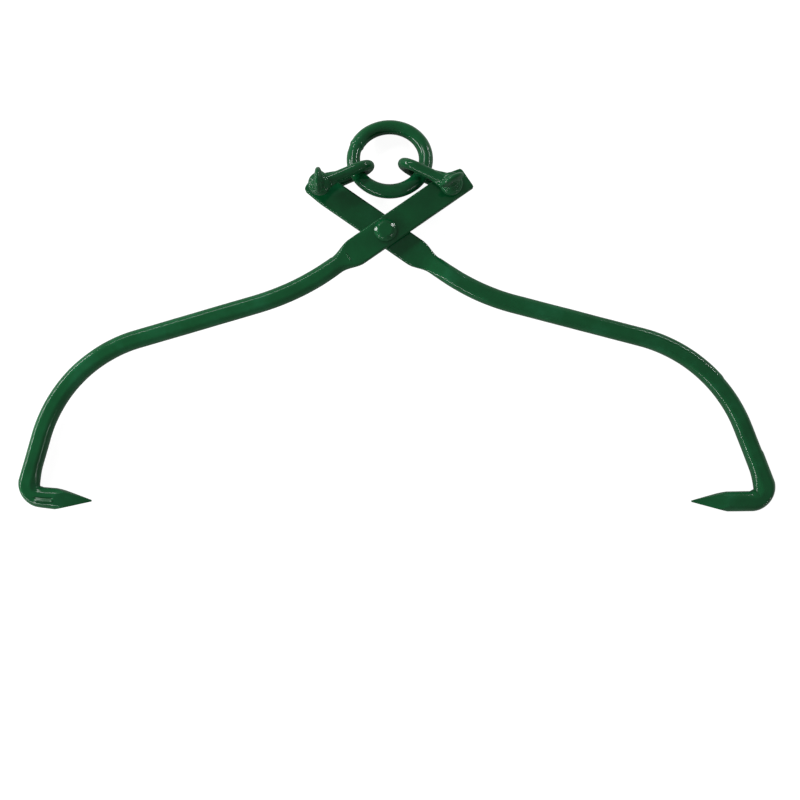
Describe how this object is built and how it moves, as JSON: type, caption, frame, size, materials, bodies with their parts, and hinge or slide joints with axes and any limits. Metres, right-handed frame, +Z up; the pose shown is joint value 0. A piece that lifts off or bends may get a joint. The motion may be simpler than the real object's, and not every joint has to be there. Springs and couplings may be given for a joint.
{
  "type": "log tongs",
  "caption": "Scissor log tongs with forged curved arms ending in pointed hooks, riveted at the crossing and closed by a lifting ring on screw pin shackles.",
  "frame": {"origin": "centre of the outer box on the ground, with the tongs lying face up and spread open", "axes": "+X across the tongs to the side of the rear arm's hook, +Y along the ground from the hooks to the lifting ring, +Z up out of the face with the pin heads"},
  "size_m": [0.575, 0.3009, 0.0527],
  "materials": {
    "arm_paint": "gloss dark green paint on forged steel",
    "rivet_paint": "gloss dark green paint over a hammered rivet",
    "ring_paint": "gloss dark green paint on a welded ring",
    "shackle_paint": "gloss dark green paint on a forged shackle",
    "pin_paint": "gloss dark green paint on a forged screw pin"
  },
  "bodies": {
    "rivet": {"pivot_rivet": "rivet_paint"},
    "front_arm": {"front_arm": "arm_paint"},
    "rear_arm": {"rear_arm": "arm_paint"},
    "ring": {"lifting_ring": "ring_paint"},
    "front_shackle": {"front_shackle": "shackle_paint"},
    "rear_shackle": {"rear_shackle": "shackle_paint"},
    "front_pin": {"front_shackle_pin": "pin_paint"},
    "rear_pin": {"rear_shackle_pin": "pin_paint"}
  },
  "joints": [
    {"name": "front_arm_close", "type": "hinge", "parent": "rivet", "child": "front_arm", "pos_m": [-0.00862, 0.06203, 0.01539], "axis": [0, -0.0426, 0.9991], "range_deg": [0, 40]},
    {"name": "rear_arm_close", "type": "hinge", "parent": "rivet", "child": "rear_arm", "pos_m": [-0.00862, 0.06203, 0.01539], "axis": [0, -0.0426, 0.9991], "range_deg": [-40, 0]},
    {"name": "ring_pull", "type": "slide", "parent": "rivet", "child": "ring", "axis": [0, 1, 0], "range_m": [0, 0.05464]},
    {"name": "front_shackle_swing", "type": "hinge", "parent": "front_arm", "child": "front_shackle", "pos_m": [0.04077, 0.09607, 0.01684], "axis": [0, -0.0426, 0.9991], "range_deg": [-90.74, 0]},
    {"name": "rear_shackle_swing", "type": "hinge", "parent": "rear_arm", "child": "rear_shackle", "pos_m": [-0.05801, 0.09607, 0.01684], "axis": [0, -0.0426, 0.9991], "range_deg": [0, 87.41]},
    {"name": "front_pin_turn", "type": "hinge", "parent": "front_shackle", "child": "front_pin", "pos_m": [0.04077, 0.09607, 0.01684], "axis": [0, -0.0426, 0.9991], "continuous": true},
    {"name": "rear_pin_turn", "type": "hinge", "parent": "rear_shackle", "child": "rear_pin", "pos_m": [-0.05801, 0.09607, 0.01684], "axis": [0, -0.0426, 0.9991], "continuous": true}
  ],
  "couplings": [
    {"joint": "rear_arm_close", "follows": "front_arm_close", "ratio": -1},
    {"joint": "ring_pull", "follows": "front_arm_close", "m_per_rad": 0.078252},
    {"joint": "front_shackle_swing", "follows": "front_arm_close", "ratio": -2.2681},
    {"joint": "rear_shackle_swing", "follows": "front_arm_close", "ratio": 2.1849}
  ]
}
